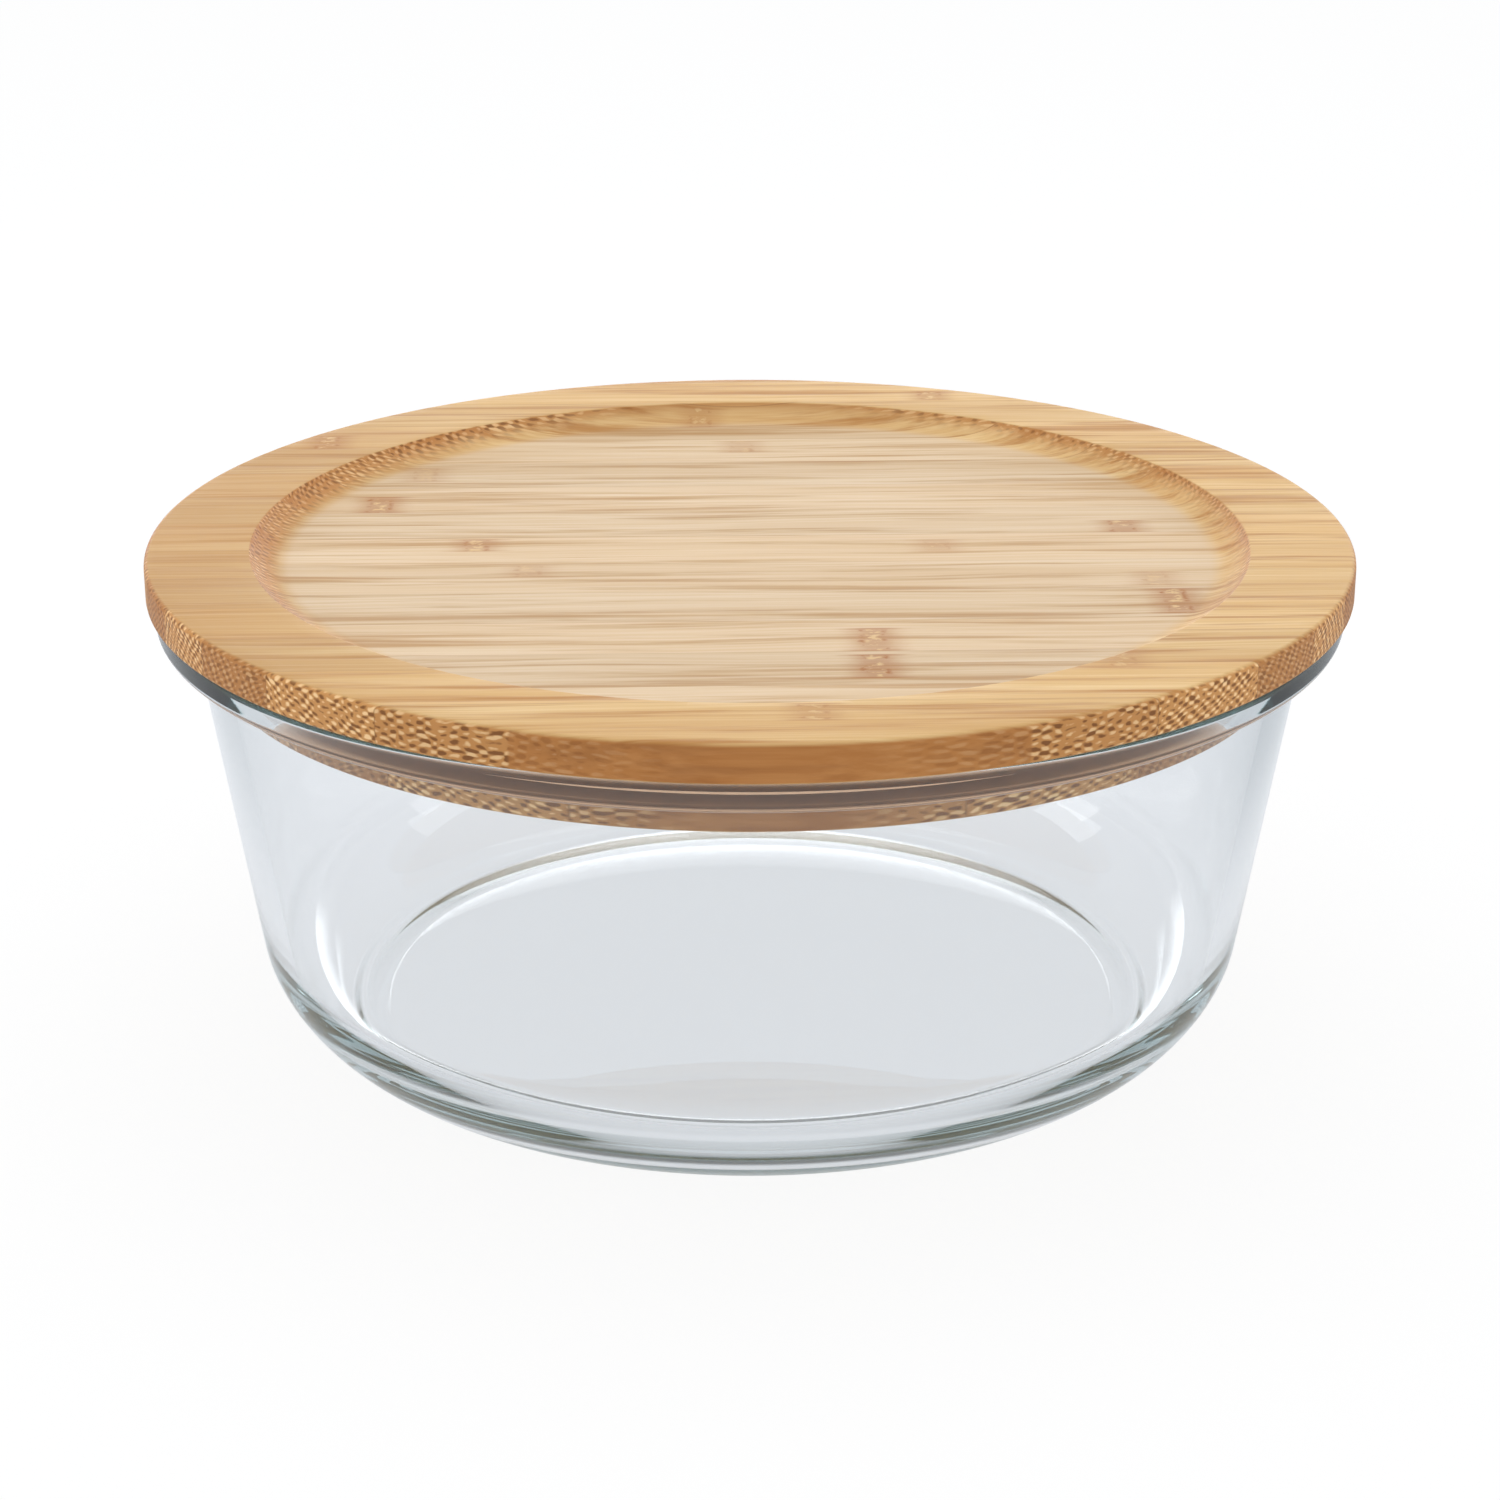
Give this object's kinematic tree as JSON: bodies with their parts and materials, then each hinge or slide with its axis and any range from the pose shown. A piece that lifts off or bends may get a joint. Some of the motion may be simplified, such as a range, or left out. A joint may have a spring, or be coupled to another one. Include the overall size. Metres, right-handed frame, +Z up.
{
  "type": "glass storage container",
  "caption": "Round clear glass food bowl with a flared rim, and a push-in bamboo lid with a recessed top and a ribbed silicone seal.",
  "frame": {"origin": "centre of the bowl's foot ring, on the surface that it stands on", "axes": "+Z up along the bowl's axis of revolution; +X along the grain of the lid's bamboo strips; strips are counted from -Y (front) to +Y (back)"},
  "size_m": [0.175, 0.175, 0.0738],
  "materials": {
    "clear_glass": "smooth pressed clear glass with a faint blue-green edge tint",
    "silicone": "matt translucent silicone",
    "bamboo": "fine sanded natural bamboo with a thin oil finish, fibre ends showing where the strips are cut across"
  },
  "bodies": {
    "bowl": {"glass_bowl": "clear_glass"},
    "lid": {"seal_ring": "silicone", "lid_strip_01": "bamboo", "lid_strip_02": "bamboo", "lid_strip_03": "bamboo", "lid_strip_04": "bamboo", "lid_strip_05": "bamboo", "lid_strip_06": "bamboo", "lid_strip_07": "bamboo", "lid_strip_08": "bamboo", "lid_strip_09": "bamboo", "lid_strip_10": "bamboo", "lid_strip_11": "bamboo", "lid_strip_12": "bamboo", "lid_strip_13": "bamboo"}
  },
  "joints": [
    {"name": "lid_lift", "type": "slide", "parent": "bowl", "child": "lid", "axis": [0, 0, 1], "range_m": [0, 0.06]}
  ]
}
